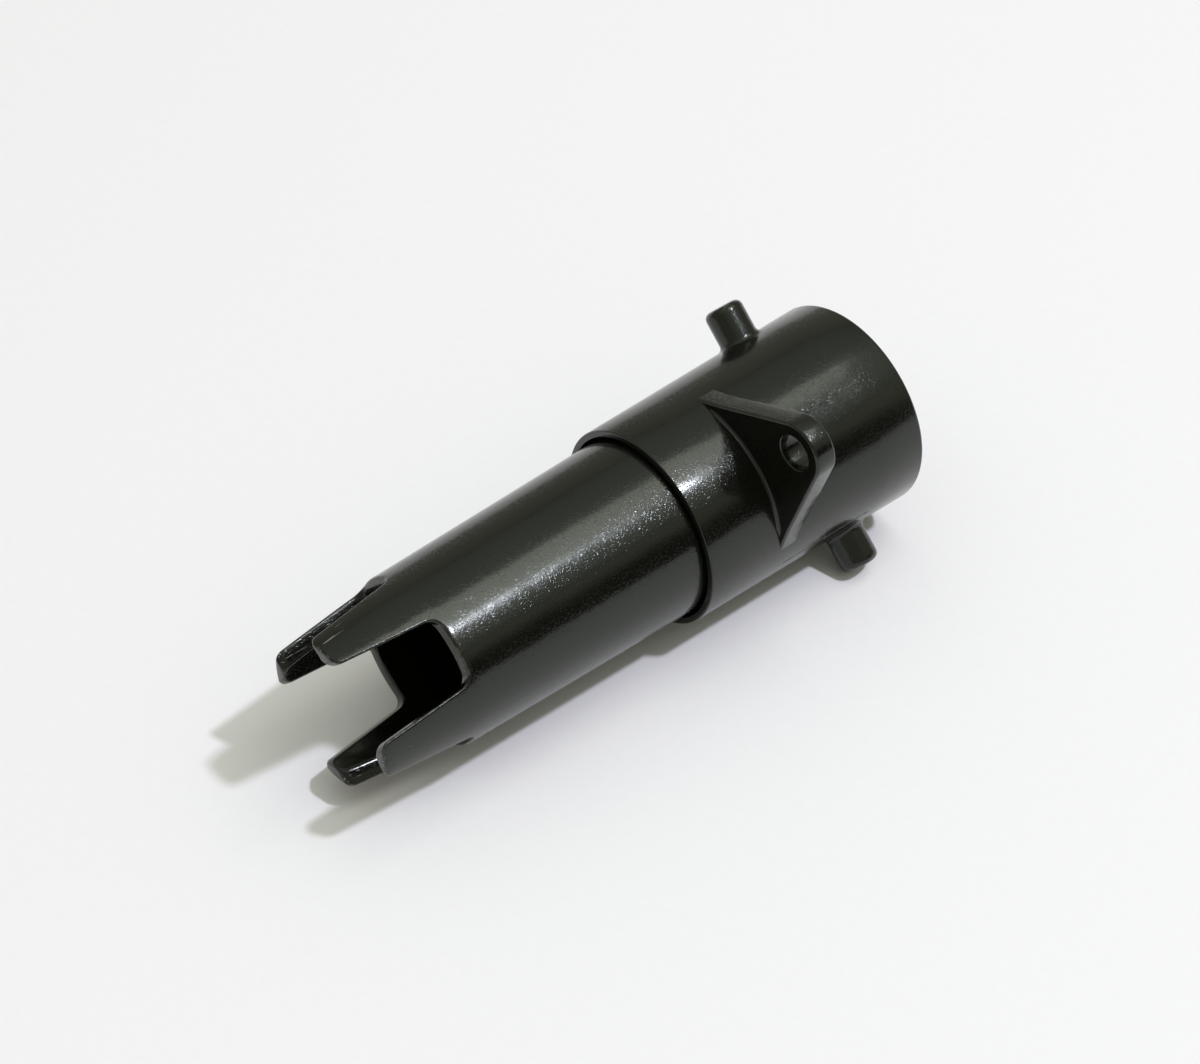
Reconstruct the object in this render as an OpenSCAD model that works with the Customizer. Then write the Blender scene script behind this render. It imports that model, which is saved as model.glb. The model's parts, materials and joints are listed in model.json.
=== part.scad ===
// Spring-return suction pump for desoldering, seen without its nozzle.
// A pronged nose barrel slides inside a collar that carries two finger pegs and an ear.
// The pump's axis lies along +X, its nose prongs point to +X, and it lies on its collar and one peg.
// The origin is the centre of the collar's rear face. Every part is drawn standing on local +Z,
// with the ear towards local +X, and along_axis() lays it down.

/* [Collar] */
// Length of the collar
collar_length = 37.1; // [36.5:0.1:42]
// Outer radius at the collar's mouth, where the barrel comes out
collar_mouth_r = 14.0; // [14:0.05:15]
// Outer radius at the collar's rear face
collar_rear_r = 14.54; // [14.5:0.02:15.5]
// Bore that the barrel slides in
collar_bore_r = 13.05; // [13.05:0.01:13.1]

/* [Finger pegs] */
// Radius of each peg
peg_r = 2.7; // [2:0.1:3]
// Distance from the axis to the end of each peg
peg_reach = 19.6; // [18:0.1:22]
// Distance of the pegs from the collar's rear face
peg_z = 10.2; // [8:0.1:12]
// Rounding of the peg's end
peg_rounding = 1.0; // [0.4:0.1:1.4]
// Size of the fillet at the peg's foot
peg_foot = 0.7; // [0.4:0.1:0.8]
// Angle between the lower peg and straight down
peg_roll = 48; // [40:1:52]

/* [Ear] */
// Thickness of the ear
ear_thickness = 3.2; // [2:0.1:4]
// Distance of the ear's front face from the collar's rear face
ear_front_z = 25.6; // [20:0.1:30]
// Distance from the axis to the centre of the hole in the ear
ear_hole_offset = 23.3; // [21:0.1:25]
// Radius of the hole in the ear
ear_hole_r = 2.5; // [2:0.05:2.8]
// Radius of the ear's rounded end
ear_end_r = 4.3; // [3.6:0.1:5]
// Angle between each side of the ear and its centre line
ear_side_angle = 22.3; // [15:0.1:25]

/* [Nose barrel] */
// Distance from the collar's rear face to the tips of the prongs
nose_tip_z = 87.4; // [84:0.1:95]
// Distance from the collar's rear face to the bottom of the slots
slot_bottom_z = 73.6; // [70:0.1:76]
// Outer radius of the barrel inside the collar
barrel_r = 12.63; // [12.5:0.01:12.65]
// Outer radius at the bottom of the slots
barrel_slot_r = 11.88; // [11.7:0.02:12.2]
// Outer radius at the tips of the prongs
prong_tip_r = 11.05; // [10.8:0.05:11.5]
// Wall of the pronged nose
nose_wall = 2.0; // [1.6:0.1:2.2]
// Number of slots, which is also the number of prongs
slot_count = 4; // [3:1:4]
// Half width of a slot at its bottom
slot_bottom_half = 4.4; // [3:0.1:5]
// Half width of a slot at the prong tips
slot_mouth_half = 5.45; // [4.4:0.05:6]
// Rounding of the slot's two bottom corners
slot_corner_r = 1.5; // [0.5:0.1:2]

/* [Pump] */
// Travel of the collar over the barrel
stroke = 13; // [8:0.5:13]
// Radius of the suction chamber
chamber_r = 9.8; // [9.6:0.05:9.8]
// Radius of the piston rod
rod_r = 2.0; // [1.8:0.1:2.2]
// Radius of the port that takes the nozzle's stem
port_r = 2.5; // [2:0.1:2.8]
// Running clearance of the sliding fits
running = 0.05; // [0.03:0.01:0.08]

/* [Spring] */
// Radius of the spring wire
wire_r = 0.4; // [0.3:0.05:0.45]
// Radius of the coil at the middle of the wire
coil_r = 8.1; // [7.6:0.1:8.6]
// Number of turns
turns = 6; // [5:0.5:6]

/* [Hidden] */
$fn = 96;

cut = 1;                            // how far a cutting shape runs past the face it cuts
clock_angle = 90 + peg_roll;        // turn about the axis that puts the lower peg on the table
peg_foot_top = collar_rear_r + 0.46; // height above the axis at which the peg's straight side starts
round_steps = 8;                    // straight steps in each rounded stretch of the peg's outline
ear_root_angle = 45;                // how far round the collar the ear's root reaches
slip = 0.02;                        // gap between parts of one body that are pushed together

thumb_pad_thickness = 0.8;
rear_cap_z = thumb_pad_thickness;
rear_cap_thickness = 3.4;
rear_cap_front_z = rear_cap_z + rear_cap_thickness;
cap_shoulder = 0.2;
rear_cap_r = collar_bore_r + cap_shoulder;
cap_boss_r = 4.5;
cap_boss_z = 7;
nut_pocket_r = 4.2;
nut_pocket_z = 3.6;
washer_margin = 0.7;
snap_wire_r = 0.5;
snap_gap = 2.4;
snap_ring_z = rear_cap_z + rear_cap_thickness / 2;

washer_thickness = 0.5;
spring_washer_in_r = 7;
spring_washer_out_r = 9.3;

flange_r = 12.4;
flange_thickness = 1.5;
barrel_rear_z = 26;
flange_rear_z = barrel_rear_z - flange_thickness;
plug_length = 4;
plug_front_z = barrel_rear_z + plug_length;
bush_r = 3.18;
bush_flange_r = 4.2;
bush_flange_thickness = 0.6;
vent_r = 0.7;
vent_offset = 5.6;
vent_count = 6;
screw_count = 3;
screw_offset = 11;
screw_r = 0.65;
screw_head_r = 1.3;
screw_head_height = 0.9;
screw_length = 6;
screw_slot = 0.4;
screw_start_angle = 45;

ring_z = 27.2;
ring_length = 2;
ring_groove_r = 12;
ring_gap = 1.2;
key_z = 31;
key_length = 3;
key_width = 3;
key_root_r = 12;
key_reach = 13.4;
keyway_reach = 13.5;
key_clearance = 0.1;

bumper_in_r = 6.8;
bumper_out_r = 9.4;
bumper_thickness = 1.4;
piston_rest_gap = 0.2;
piston_z = plug_front_z + bumper_thickness + piston_rest_gap;
piston_length = 7;
piston_front_z = piston_z + piston_length;
piston_r = chamber_r - 2 * running;
seal_wire_r = 0.85;
seal_groove_length = 2;
seal_groove_offset = 2.4;
seal_groove_z = piston_z + seal_groove_offset;
seal_groove_r = 8;
seal_r = chamber_r - running - seal_wire_r;
nut_across_flats = 5.5;
nut_sides = 6;
nut_corner_r = nut_across_flats / 2 / cos(180 / nut_sides);
nut_height = 2.2;
spigot_r = 1.48;
spigot_hole_r = spigot_r + slip;
rod_end_inset = 0.1;
piston_pocket_depth = 3;
piston_pocket_z = piston_front_z - piston_pocket_depth;
pin_r = 0.5;
pin_tip_r = 0.17;
pin_tip_length = 1.2;
pin_root_depth = 4;
pin_reach = 14.4;
pin_root_z = piston_front_z - pin_root_depth;
pin_tip_z = piston_front_z + pin_reach;

bulkhead_z = 54.5;
bulkhead_thickness = 3;
bulkhead_front_z = bulkhead_z + bulkhead_thickness;
port_bush_r = 3.9;
port_bush_stand_out = 2.6;
port_bush_front_z = bulkhead_front_z + port_bush_stand_out;
port_flange_r = 5.4;
port_flange_thickness = 1.2;
port_flange_z = bulkhead_z - port_flange_thickness;
port_seal_r = 4.6;
port_seal_wire_r = 0.34;
port_seal_groove_half = 0.36;
port_nut_r = 6;
port_nut_height = 2;

nose_bore_r = barrel_slot_r - nose_wall;
nose_tip_bore_r = prong_tip_r - nose_wall;
slot_slope = atan((slot_mouth_half - slot_bottom_half) / (nose_tip_z - slot_bottom_z));
slot_corner_x = slot_bottom_half + slot_corner_r * (tan(slot_slope) - 1 / cos(slot_slope));
slot_corner_steps = 6;

spring_rear_z = rear_cap_front_z + washer_thickness;
spring_front_z = flange_rear_z - washer_thickness;
steps_per_turn = 24;
wire_sides = 10;
dead_pitch = 2.1 * wire_r;          // rise of the first and the last turn, which lie almost closed

module along_axis() {
    rotate([0, 90, 0]) rotate([0, 0, clock_angle]) children();
}

// A tube from z to z + length
module tube(z, length, outer_r, inner_r) {
    translate([0, 0, z]) difference() {
        cylinder(r = outer_r, h = length);
        translate([0, 0, -cut]) cylinder(r = inner_r, h = length + 2 * cut);
    }
}

// A round bar from z to z + length
module bar(z, length, r) {
    translate([0, 0, z]) cylinder(r = r, h = length);
}

// A ring of round wire
module wire_ring(z, ring_r, section_r) {
    translate([0, 0, z]) rotate_extrude() translate([ring_r, 0]) circle(r = section_r);
}

// A hexagon nut with a hole through it
module hex_nut(z, height, corner_r, hole_r) {
    translate([0, 0, z]) difference() {
        cylinder(r = corner_r, h = height, $fn = nut_sides);
        translate([0, 0, -cut]) cylinder(r = hole_r, h = height + 2 * cut);
    }
}

// Lays an outline with its first axis across the pump and its second along it, and runs it outwards
module radial_extrude(from_r, to_r) {
    translate([from_r, 0, 0]) rotate([90, 0, 90]) linear_extrude(height = to_r - from_r) children();
}

// --- Nose barrel -------------------------------------------------------------------------------

// Points round one bottom corner of a slot, from its bottom to its side
function slot_corner() = [for (i = [0 : slot_corner_steps])
    let (turn = i * (90 - slot_slope) / slot_corner_steps)
    [slot_corner_x + slot_corner_r * sin(turn), slot_bottom_z + slot_corner_r * (1 - cos(turn))]];

// Outline of one slot, wider at the prong tips
module slot_outline() {
    right = slot_corner();
    left = [for (i = [slot_corner_steps : -1 : 0]) [-right[i].x, right[i].y]];
    mouth_x = slot_mouth_half + cut * tan(slot_slope);
    mouth_y = nose_tip_z + cut;
    polygon(concat(right, [[mouth_x, mouth_y], [-mouth_x, mouth_y]], left));
}

// Half section of the barrel, with the wall that divides the chamber from the nose
module barrel_section() {
    polygon([[chamber_r, barrel_rear_z], [barrel_r, barrel_rear_z], [barrel_r, collar_length],
        [barrel_slot_r, slot_bottom_z], [prong_tip_r, nose_tip_z], [nose_tip_bore_r, nose_tip_z],
        [nose_bore_r, slot_bottom_z], [nose_bore_r, bulkhead_front_z], [port_bush_r + slip, bulkhead_front_z],
        [port_bush_r + slip, bulkhead_z], [chamber_r, bulkhead_z]]);
}

// Places its child at each of the end cap's screws
module at_screws() {
    for (i = [0 : screw_count - 1])
        rotate([0, 0, screw_start_angle + i * 360 / screw_count]) translate([screw_offset, 0, 0]) children();
}

module nose_barrel() {
    color("#2c2c28") along_axis() difference() {
        rotate_extrude() barrel_section();
        for (i = [0 : slot_count - 1])
            rotate([0, 0, i * 360 / slot_count]) radial_extrude(0, barrel_r + cut) slot_outline();
        difference() {
            bar(ring_z, ring_length, barrel_r + cut);
            bar(ring_z, ring_length, ring_groove_r);
        }
        for (side = [-90, 90])
            rotate([0, 0, side]) translate([key_root_r, -key_width / 2, key_z])
                cube([barrel_r, key_width, key_length]);
        at_screws() bar(barrel_rear_z - cut, screw_length + cut, screw_r + slip);
    }
}

// --- Pieces fixed to the barrel ----------------------------------------------------------------

module guide_ring() {
    color("#d8d4c4") along_axis() difference() {
        tube(ring_z + slip, ring_length - 2 * slip, collar_bore_r - running, ring_groove_r + slip);
        translate([0, -ring_gap / 2, ring_z]) cube([collar_bore_r + cut, ring_gap, ring_length]);
    }
}

module guide_keys() {
    color("#b8b8b4") along_axis() for (side = [-90, 90])
        rotate([0, 0, side]) translate([key_root_r + slip, slip - key_width / 2, key_z + slip])
            cube([key_reach - key_root_r, key_width - 2 * slip, key_length - 2 * slip]);
}

module end_cap() {
    color("#3a3a38") along_axis() difference() {
        union() {
            bar(flange_rear_z, flange_thickness, flange_r);
            bar(barrel_rear_z, plug_length, chamber_r - slip);
        }
        bar(flange_rear_z - cut, flange_thickness + plug_length + 2 * cut, bush_r + slip);
        for (i = [0 : vent_count - 1])
            rotate([0, 0, i * 360 / vent_count]) translate([vent_offset, 0, 0])
                bar(flange_rear_z - cut, flange_thickness + plug_length + 2 * cut, vent_r);
        at_screws() bar(flange_rear_z - cut, flange_thickness + 2 * cut, screw_r + slip);
    }
}

module end_cap_screws() {
    color("#a8a8a4") along_axis() at_screws() difference() {
        union() {
            bar(flange_rear_z - screw_head_height, screw_head_height, screw_head_r);
            bar(flange_rear_z, screw_length, screw_r);
        }
        translate([-screw_head_r, -screw_slot / 2, flange_rear_z - screw_head_height - cut])
            cube([2 * screw_head_r, screw_slot, screw_slot + cut]);
    }
}

module rod_bush() {
    color("#b08d4c") along_axis() difference() {
        union() {
            bar(flange_rear_z - bush_flange_thickness, bush_flange_thickness, bush_flange_r);
            bar(flange_rear_z, flange_thickness + plug_length, bush_r);
        }
        bar(flange_rear_z - bush_flange_thickness - cut, plug_front_z, rod_r + running);
    }
}

module bumper_ring() {
    color("#242424") along_axis() tube(plug_front_z, bumper_thickness, bumper_out_r, bumper_in_r);
}

module front_spring_washer() {
    color("#b4b4b0") along_axis()
        tube(flange_rear_z - washer_thickness, washer_thickness, spring_washer_out_r, spring_washer_in_r);
}

module nozzle_bush() {
    color("#b08d4c") along_axis() difference() {
        union() {
            bar(port_flange_z, port_flange_thickness, port_flange_r);
            bar(bulkhead_z, port_bush_front_z - bulkhead_z, port_bush_r);
        }
        bar(port_flange_z - cut, port_bush_front_z - port_flange_z + 2 * cut, port_r);
        tube(bulkhead_z - 2 * port_seal_groove_half, 2 * port_seal_groove_half,
            port_seal_r + port_seal_groove_half, port_seal_r - port_seal_groove_half);
    }
}

module nozzle_bush_seal() {
    color("#202020") along_axis()
        wire_ring(bulkhead_z - port_seal_groove_half, port_seal_r, port_seal_wire_r);
}

module nozzle_bush_nut() {
    color("#b08d4c") along_axis() translate([0, 0, bulkhead_front_z + slip]) difference() {
        cylinder(r = port_nut_r, h = port_nut_height, $fn = nut_sides);
        translate([0, 0, -cut]) cylinder(r = port_bush_r + slip, h = port_nut_height + 2 * cut);
    }
}

// --- Collar ------------------------------------------------------------------------------------

// Half outline of a peg from the axis outwards: a filleted foot, a straight side and a rounded end
module peg_section() {
    angles = [for (i = [0 : round_steps]) i * 90 / round_steps];
    foot = [for (t = angles) [peg_r + peg_foot * (1 - sin(t)), peg_foot_top - peg_foot * cos(t)]];
    end = [for (t = angles)
        [peg_r - peg_rounding * (1 - cos(t)), peg_reach - peg_rounding * (1 - sin(t))]];
    polygon(concat([[0, 0], [peg_r + peg_foot, 0]], foot, end, [[0, peg_reach]]));
}

// The ear's outline: a round end with two straight sides that run down into the collar
module ear_outline() {
    tangent_x = ear_hole_offset + ear_end_r * sin(ear_side_angle);
    tangent_y = ear_end_r * cos(ear_side_angle);
    root_x = collar_bore_r * cos(ear_root_angle);
    root_y = tangent_y + (tangent_x - root_x) * tan(ear_side_angle);
    translate([ear_hole_offset, 0]) circle(r = ear_end_r);
    polygon([[tangent_x, tangent_y], [root_x, root_y], [root_x, -root_y], [tangent_x, -tangent_y]]);
}

module collar() {
    color("#2c2c28") along_axis() difference() {
        union() {
            cylinder(r1 = collar_rear_r, r2 = collar_mouth_r, h = collar_length);
            for (side = [-1, 1])
                translate([0, 0, peg_z]) rotate([-side * 90, 0, 0]) rotate_extrude() peg_section();
            translate([0, 0, ear_front_z - ear_thickness])
                linear_extrude(height = ear_thickness) ear_outline();
        }
        translate([0, 0, -cut]) cylinder(r = collar_bore_r, h = collar_length + 2 * cut);
        translate([0, 0, -cut]) cylinder(r = rear_cap_r + slip, h = rear_cap_front_z + cut);
        wire_ring(snap_ring_z, rear_cap_r, snap_wire_r);
        translate([ear_hole_offset, 0, ear_front_z - ear_thickness - cut])
            cylinder(r = ear_hole_r, h = ear_thickness + 2 * cut);
        for (side = [-90, 90])
            rotate([0, 0, side])
                translate([0, -key_width / 2 - running, key_z - stroke - key_clearance])
                    cube([keyway_reach, key_width + 2 * running, key_length + stroke + 2 * key_clearance]);
    }
}

// --- Pieces that travel with the collar --------------------------------------------------------

module rear_cap() {
    color("#333330") along_axis() difference() {
        union() {
            bar(rear_cap_z, rear_cap_thickness, rear_cap_r);
            bar(rear_cap_front_z, cap_boss_z - rear_cap_front_z, cap_boss_r);
        }
        bar(rear_cap_z - cut, nut_pocket_z - rear_cap_z + cut, nut_pocket_r);
        bar(rear_cap_z - cut, cap_boss_z + cut, spigot_hole_r);
        wire_ring(snap_ring_z, rear_cap_r, snap_wire_r);
    }
}

module cap_snap_ring() {
    color("#a8a8a4") along_axis() difference() {
        wire_ring(snap_ring_z, rear_cap_r, snap_wire_r - slip);
        translate([0, -snap_gap / 2, rear_cap_z]) cube([collar_rear_r, snap_gap, rear_cap_thickness]);
    }
}

module thumb_pad() {
    color("#262626") along_axis() bar(0, thumb_pad_thickness, rear_cap_r);
}

module piston_rod() {
    color("#c4c4c0") along_axis() difference() {
        union() {
            bar(cap_boss_z, piston_z - cap_boss_z, rod_r);
            bar(rear_cap_z + rod_end_inset, cap_boss_z - rear_cap_z, spigot_r);
            bar(piston_z, piston_length, spigot_r);
        }
        bar(pin_root_z - slip, piston_length, pin_r + slip);
    }
}

module rear_nut() {
    color("#b8b8b4") along_axis()
        hex_nut(nut_pocket_z - washer_thickness - nut_height, nut_height, nut_corner_r, spigot_hole_r);
}

module rear_washer() {
    color("#b4b4b0") along_axis()
        tube(nut_pocket_z - washer_thickness, washer_thickness, nut_pocket_r - washer_margin, spigot_hole_r);
}

module rear_spring_washer() {
    color("#b4b4b0") along_axis()
        tube(rear_cap_front_z, washer_thickness, spring_washer_out_r, spring_washer_in_r);
}

module piston() {
    color("#e6e2d6") along_axis() difference() {
        bar(piston_z, piston_length, piston_r);
        bar(piston_z - cut, piston_length + 2 * cut, spigot_hole_r);
        bar(piston_pocket_z, piston_length, nut_pocket_r);
        tube(seal_groove_z, seal_groove_length, piston_r + cut, seal_groove_r);
    }
}

module piston_seal() {
    color("#202020") along_axis()
        wire_ring(seal_groove_z + seal_groove_length / 2, seal_r, seal_wire_r);
}

module piston_washer() {
    color("#b4b4b0") along_axis()
        tube(piston_pocket_z, washer_thickness, nut_pocket_r - washer_margin, spigot_hole_r);
}

module piston_nut() {
    color("#b8b8b4") along_axis()
        hex_nut(piston_pocket_z + washer_thickness, nut_height, nut_corner_r, spigot_hole_r);
}

module cleaning_pin() {
    color("#c4c4c0") along_axis() {
        bar(pin_root_z, pin_tip_z - pin_tip_length - pin_root_z, pin_r);
        translate([0, 0, pin_tip_z - pin_tip_length]) cylinder(r1 = pin_r, r2 = pin_tip_r, h = pin_tip_length);
    }
}

// Height of the wire's centre after a number of turns: the first and last turns lie almost closed
function coil_height(turn) =
    let (low = spring_rear_z + wire_r, high = spring_front_z - wire_r)
    let (live = (high - low - 2 * dead_pitch) / (turns - 2))
    turn < 1 ? low + dead_pitch * turn
    : turn > turns - 1 ? high - dead_pitch * (turns - turn)
    : low + dead_pitch + live * (turn - 1);

// Points round the wire at one step along the coil
function wire_points(step) = [for (k = [0 : wire_sides - 1])
    let (around = 360 * k / wire_sides, turn = step / steps_per_turn)
    let (r = coil_r + wire_r * cos(around))
    [r * cos(360 * turn), r * sin(360 * turn), coil_height(turn) + wire_r * sin(around)]];

module return_spring() {
    steps = turns * steps_per_turn;
    points = [for (s = [0 : steps]) each wire_points(s)];
    sides = [for (s = [0 : steps - 1], k = [0 : wire_sides - 1])
        let (next = (k + 1) % wire_sides)
        [s * wire_sides + k, (s + 1) * wire_sides + k, (s + 1) * wire_sides + next, s * wire_sides + next]];
    first_end = [for (k = [0 : wire_sides - 1]) k];
    last_end = [for (k = [wire_sides - 1 : -1 : 0]) steps * wire_sides + k];
    color("#9a9a98") along_axis() polyhedron(points = points, faces = concat(sides, [first_end, last_end]));
}

nose_barrel();
guide_ring();
guide_keys();
end_cap();
end_cap_screws();
rod_bush();
bumper_ring();
front_spring_washer();
nozzle_bush();
nozzle_bush_seal();
nozzle_bush_nut();
collar();
rear_cap();
cap_snap_ring();
thumb_pad();
piston_rod();
rear_nut();
rear_washer();
rear_spring_washer();
piston();
piston_seal();
piston_nut();
piston_washer();
cleaning_pin();
return_spring();
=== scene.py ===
# %% [markdown]
# # A black moulded pump body, from frame to finished render
# The object is a small suction pump for desoldering, with its nozzle taken off. A nose barrel with four
# prongs slides in a short collar, and the collar carries two finger pegs and an ear with a hole.
# The design already exists as solids in one shared frame, so this script only adds the looks: it loads
# the solids, builds finer shells for what the eye sees, and gives every piece its real material.
# Everything is in metres, the pump's axis is the X axis, and the prongs point to +X.

# %% Load the frame
import json
import math

import bmesh
import bpy
from mathutils import Matrix, Vector
from mathutils.geometry import delaunay_2d_cdt


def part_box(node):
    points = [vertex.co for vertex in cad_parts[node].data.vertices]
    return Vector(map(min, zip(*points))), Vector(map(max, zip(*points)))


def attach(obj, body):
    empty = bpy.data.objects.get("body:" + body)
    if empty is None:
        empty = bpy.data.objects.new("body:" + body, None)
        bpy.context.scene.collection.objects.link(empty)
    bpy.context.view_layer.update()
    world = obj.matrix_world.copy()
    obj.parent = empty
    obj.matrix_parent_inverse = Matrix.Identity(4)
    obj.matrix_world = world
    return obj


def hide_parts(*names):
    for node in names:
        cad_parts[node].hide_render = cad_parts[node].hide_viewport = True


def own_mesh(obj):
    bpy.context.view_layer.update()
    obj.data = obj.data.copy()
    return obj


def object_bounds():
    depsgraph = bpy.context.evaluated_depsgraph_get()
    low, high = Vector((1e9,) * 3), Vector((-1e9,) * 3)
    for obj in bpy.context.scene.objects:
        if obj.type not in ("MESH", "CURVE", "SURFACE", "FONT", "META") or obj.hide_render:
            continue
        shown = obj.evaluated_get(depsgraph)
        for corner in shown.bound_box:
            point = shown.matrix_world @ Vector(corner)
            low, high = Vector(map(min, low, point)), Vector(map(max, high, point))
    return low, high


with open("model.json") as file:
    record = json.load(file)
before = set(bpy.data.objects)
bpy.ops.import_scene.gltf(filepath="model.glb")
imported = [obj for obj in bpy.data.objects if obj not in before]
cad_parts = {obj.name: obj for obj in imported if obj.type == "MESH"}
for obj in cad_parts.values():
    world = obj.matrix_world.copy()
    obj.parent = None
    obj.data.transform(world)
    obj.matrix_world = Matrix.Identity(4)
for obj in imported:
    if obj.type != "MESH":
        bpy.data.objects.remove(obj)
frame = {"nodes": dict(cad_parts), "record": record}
cad_low, cad_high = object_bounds()
MM = 0.001
scene = bpy.context.scene
scene.view_settings.view_transform = "Standard"
nodes = frame["nodes"]
mounts = {m["name"]: m for m in frame["record"]["mounts"]}
print("CAD box, mm:", [round(v / MM, 2) for v in (*cad_low, *cad_high)])

# %% [markdown]
# ## Where things are
# The pump is round, so a place on it is a distance along the axis, a radius, and an angle. The angle is
# counted from the ear, because the slots, the pegs and the ear are all lined up with each other. The
# ear's own direction comes from the place of its hole in the record.

# %% A place on the pump
ear_place = Vector(mounts["ear_hole"]["pos_m"])
ear_turn = math.atan2(ear_place.z, ear_place.y)


def on_pump(x, radius, angle):
    """The point x along the axis, at that radius, and at that angle in radians from the ear."""
    turn = ear_turn + angle
    return Vector((x, radius * math.cos(turn), radius * math.sin(turn)))


print("the ear leans", round(math.degrees(ear_turn), 1), "degrees above the table")

# %% [markdown]
# ## The camera
# A long lens from about 42 cm away keeps the tube's sides nearly parallel. It looks down on the prong
# end, so the prongs come nearer than the collar and both the slots and the ear can be seen.

# %% Camera
camera_data = bpy.data.cameras.new("camera")
camera_data.sensor_width = 36.0
camera_data.lens = 97.13
camera_data.clip_start = 0.01
camera_data.clip_end = 20.0
camera = bpy.data.objects.new("camera", camera_data)
scene.collection.objects.link(camera)
camera_place = Vector((237.41, 220.83, 292.39)) * MM
camera_target = Vector((41.44, -2.79, 0.0)) * MM
camera_roll = math.radians(0.52)
look = (camera_target - camera_place).to_track_quat("-Z", "Y").to_matrix()
camera.location = camera_place
camera.rotation_euler = (look @ Matrix.Rotation(camera_roll, 3, "Z")).to_euler()
scene.camera = camera
print("camera is", round((camera_target - camera_place).length, 3), "m from what it looks at")

# %% [markdown]
# ## Making a mesh piece
# Each shell is worked out as lists of points and faces. One function turns them into an object: it joins
# points that fall together, makes all faces look outwards, shades smoothly across gentle bends, and
# keeps a crisp line where two faces meet at more than 35 degrees.

# %% Mesh helper
SHARP = math.radians(35)
SAME_PLACE = 0.0005 * MM
NO_LENGTH = 0.0001 * MM


def make_piece(name, points, faces, wear_and_highlight=None):
    """A mesh object from points and faces. The last argument gives how exposed each point is to rubbing,
    0 to 1, and on the mould lines a painted highlight.
    """
    mesh = bpy.data.meshes.new(name)
    mesh.from_pydata([tuple(p) for p in points], [], faces)
    layer = mesh.attributes.new("wear_and_highlight", "FLOAT", "POINT")
    layer.data.foreach_set("value", wear_and_highlight or [0.0] * len(points))
    work = bmesh.new()
    work.from_mesh(mesh)
    bmesh.ops.remove_doubles(work, verts=work.verts, dist=SAME_PLACE)
    bmesh.ops.dissolve_degenerate(work, edges=work.edges, dist=NO_LENGTH)
    bmesh.ops.recalc_face_normals(work, faces=work.faces)
    work.to_mesh(mesh)
    open_edges = sum(1 for e in work.edges if not e.is_manifold)
    work.free()
    mesh.shade_smooth()
    mesh.set_sharp_from_angle(angle=SHARP)
    piece = bpy.data.objects.new(name, mesh)
    scene.collection.objects.link(piece)
    print(name, "has", len(mesh.polygons), "faces and", open_edges, "open edges")
    return piece


def strips(rows, first=0, closed=False):
    """Quads between rows of points. Row n's points follow row n - 1's, counted from first."""
    count = len(rows[0])
    faces = []
    for n in range(len(rows) - 1):
        for i in range(count if closed else count - 1):
            a = first + n * count + i
            b = first + n * count + (i + 1) % count
            faces.append((a, b, b + count, a + count))
    return faces


def arc(start, end, steps):
    """Angles from start to end in equal steps, both ends included."""
    return [start + (end - start) * k / steps for k in range(steps + 1)]


# %% [markdown]
# ## The nose barrel
# On the real part this is one injection moulding: a tube that gets slightly smaller towards the nose, as
# every moulded tube must to leave its mould, with four slots that leave four prongs. Cutting the slots
# with a boolean would leave knife edges that catch the light wrongly, and a bevel can't cope with the
# many small faces. So the wall is treated as sheet: the outline of the slots and prongs is drawn once, as
# lines and arcs, and a rounded edge runs round it from the outer skin to the inner skin.

# %% Barrel sizes
step_x = 37.1 * MM
slot_x = 73.6 * MM
barrel_low, barrel_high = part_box("nose_barrel")
rear_x = barrel_low.x
tip_x = barrel_high.x
barrel_radius = 12.63 * MM
slot_radius = 11.88 * MM
tip_radius = 11.05 * MM
wall = 2.0 * MM
edge_round = 0.42 * MM
inner_edge_round = 0.3 * MM
slot_half = 4.4 * MM
mouth_half = 5.45 * MM
slot_corner = 1.5 * MM
tip_corner = 1.15 * MM
scuffed_length = 5.0 * MM
slope = math.atan((mouth_half - slot_half) / (tip_x - slot_x))
quarter = math.radians(45)


def outer_radius(x):
    """Radius of the barrel's outer skin at x."""
    if x < step_x:
        return barrel_radius
    if x < slot_x:
        return barrel_radius + (slot_radius - barrel_radius) * (x - step_x) / (slot_x - step_x)
    return slot_radius + (tip_radius - slot_radius) * (x - slot_x) / (tip_x - slot_x)


def inner_radius(x):
    """Radius of the nose's inner skin at x."""
    return min(slot_radius, outer_radius(x)) - wall


def slot_side(x):
    """Half width of a slot at x."""
    return slot_half + (x - slot_x) * math.tan(slope)


print("the slots open by", round(math.degrees(slope), 1), "degrees on each side")

# %% Outline of half a slot
ROUND_STEPS = 7
SIDE_STEPS = 14
BOTTOM_STEPS = 6


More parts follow.
